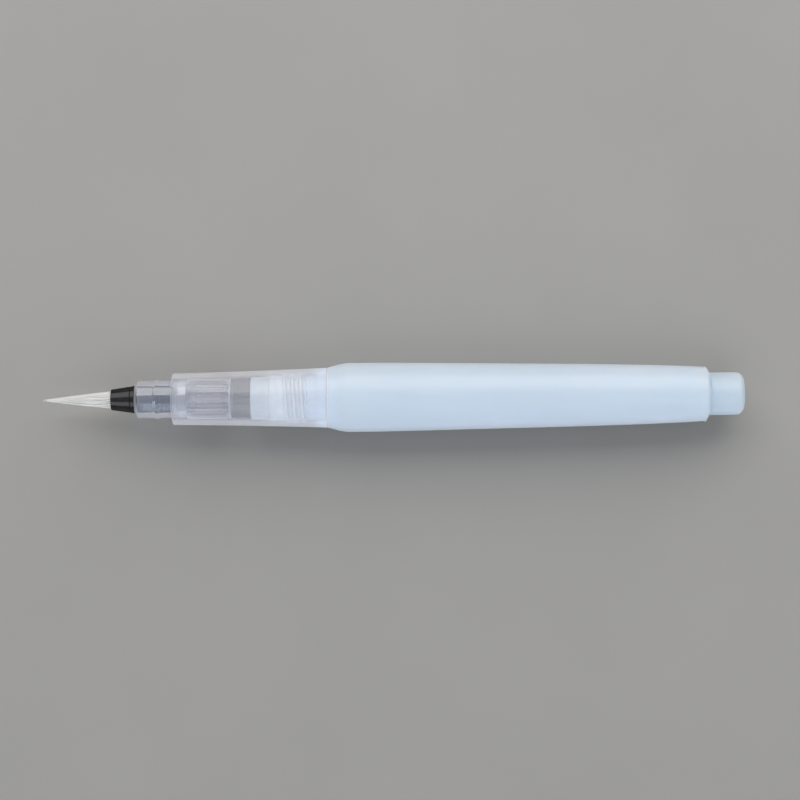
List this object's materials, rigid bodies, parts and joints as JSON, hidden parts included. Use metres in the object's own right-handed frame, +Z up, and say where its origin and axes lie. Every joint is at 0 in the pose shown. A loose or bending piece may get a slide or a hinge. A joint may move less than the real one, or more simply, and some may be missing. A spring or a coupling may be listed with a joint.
{
  "type": "water brush pen",
  "caption": "Refillable water brush pen with a soft translucent squeeze barrel, screw-on frosted grip section, clear nozzle, black ferrule and pointed bristle tuft.",
  "frame": {"origin": "centre of the pen's length, at the bottom of its lying outline, directly below its axis", "axes": "+X along the pen from the brush tip to the cap post, +Z up, so the pen lies along X with its tip at -X; its own axis is 7.38 mm above the origin"},
  "size_m": [0.15, 0.0148, 0.0147],
  "materials": {
    "barrel_plastic": "pale blue translucent polyethylene, satin, soft wall",
    "frosted_plastic": "frosted translucent polypropylene with a glossy moulded skin",
    "clear_plastic": "clear, slightly milky polypropylene, glossy",
    "black_plastic": "black, moulded gloss",
    "core_plastic": "milky white, fine moulded flutes",
    "bristle": "off-white nylon filaments, silky"
  },
  "bodies": {
    "barrel": {"barrel": "barrel_plastic"},
    "core": {"regulator_core": "core_plastic"},
    "front": {"grip_section": "frosted_plastic", "nozzle": "clear_plastic", "ferrule": "black_plastic", "tuft_root": "bristle", "supply_tube": "core_plastic", "flow_plug": "core_plastic"},
    "tuft": {"bristle_tuft": "bristle"}
  },
  "joints": [
    {"name": "section_advance", "type": "slide", "parent": "barrel", "child": "core", "axis": [-1, 0, 0], "range_m": [0, 0.0068]},
    {"name": "section_unscrew", "type": "hinge", "parent": "core", "child": "front", "pos_m": [-0.023, 0, 0.00738], "axis": [-1, 0, 0], "range_deg": [0, 1441]},
    {"name": "tuft_flex", "type": "hinge", "parent": "front", "child": "tuft", "pos_m": [-0.0602, 0, 0.00738], "axis": [0, 0, 1], "range_deg": [-45, 45], "stiffness_Nm_per_rad": 0.0003, "deforming": ["bristle_tuft"]}
  ],
  "couplings": [
    {"joint": "section_unscrew", "follows": "section_advance", "rad_per_m": 3696}
  ]
}
